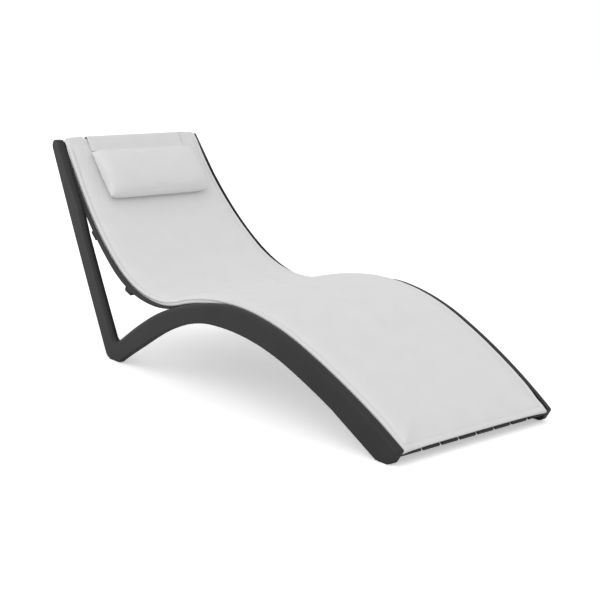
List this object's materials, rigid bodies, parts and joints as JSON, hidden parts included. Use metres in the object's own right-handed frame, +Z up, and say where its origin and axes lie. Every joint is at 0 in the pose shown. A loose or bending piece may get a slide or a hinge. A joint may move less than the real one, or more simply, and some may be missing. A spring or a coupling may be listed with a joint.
{
  "type": "sun lounger",
  "caption": "Non-folding sun lounger: leaning back and curved leg rest on moulded side frames, slatted deck, thin pad, and a head pillow held by a counterweight.",
  "frame": {"origin": "on the floor, at the middle of the length and of the width", "axes": "+X to the foot end, +Y to the sitter's left, +Z up"},
  "size_m": [1.7921, 0.6744, 0.721],
  "materials": {
    "resin": "dark grey moulded resin, fine matte texture",
    "canvas": "off-white woven outdoor canvas",
    "webbing": "off-white woven webbing",
    "foam": "open cell foam, inside the cover",
    "fill": "polyester fibre, inside the cover",
    "glide_rubber": "black rubber",
    "steel": "stainless steel"
  },
  "bodies": {
    "frame": {"side_frame_left": "resin", "side_frame_right": "resin", "slat_1": "resin", "slat_2": "resin", "slat_3": "resin", "slat_4": "resin", "slat_5": "resin", "slat_6": "resin", "slat_7": "resin", "slat_8": "resin", "edge_rail_left": "resin", "edge_rail_right": "resin", "top_rail": "resin", "back_rail": "resin", "lumbar_rail": "resin", "seat_rail": "resin", "knee_rail": "resin", "shin_rail": "resin", "foot_rail": "resin", "slat_screws": "steel", "rear_glide_left": "glide_rubber", "rear_glide_right": "glide_rubber", "front_glide_left": "glide_rubber", "front_glide_right": "glide_rubber", "pad_core": "foam", "pad_cover": "canvas", "pad_hood": "canvas", "pad_straps": "webbing"},
    "pillow": {"pillow_cover": "canvas", "pillow_fill": "fill", "flap_front": "canvas"},
    "weight": {"weight_pocket": "canvas", "weight_bar": "steel", "flap_rear": "canvas"}
  },
  "joints": [
    {"name": "pillow_slide", "type": "hinge", "parent": "frame", "child": "pillow", "pos_m": [0.19452, 0, 1.31088], "axis": [0, 1, 0], "range_deg": [-6.68, 2.62], "deforming": ["flap_front"]},
    {"name": "weight_slide", "type": "hinge", "parent": "frame", "child": "weight", "pos_m": [0.19452, 0, 1.31088], "axis": [0, 1, 0], "range_deg": [-2.49, 6.35], "deforming": ["flap_rear"]}
  ],
  "couplings": [
    {"joint": "weight_slide", "follows": "pillow_slide", "ratio": -0.95}
  ]
}
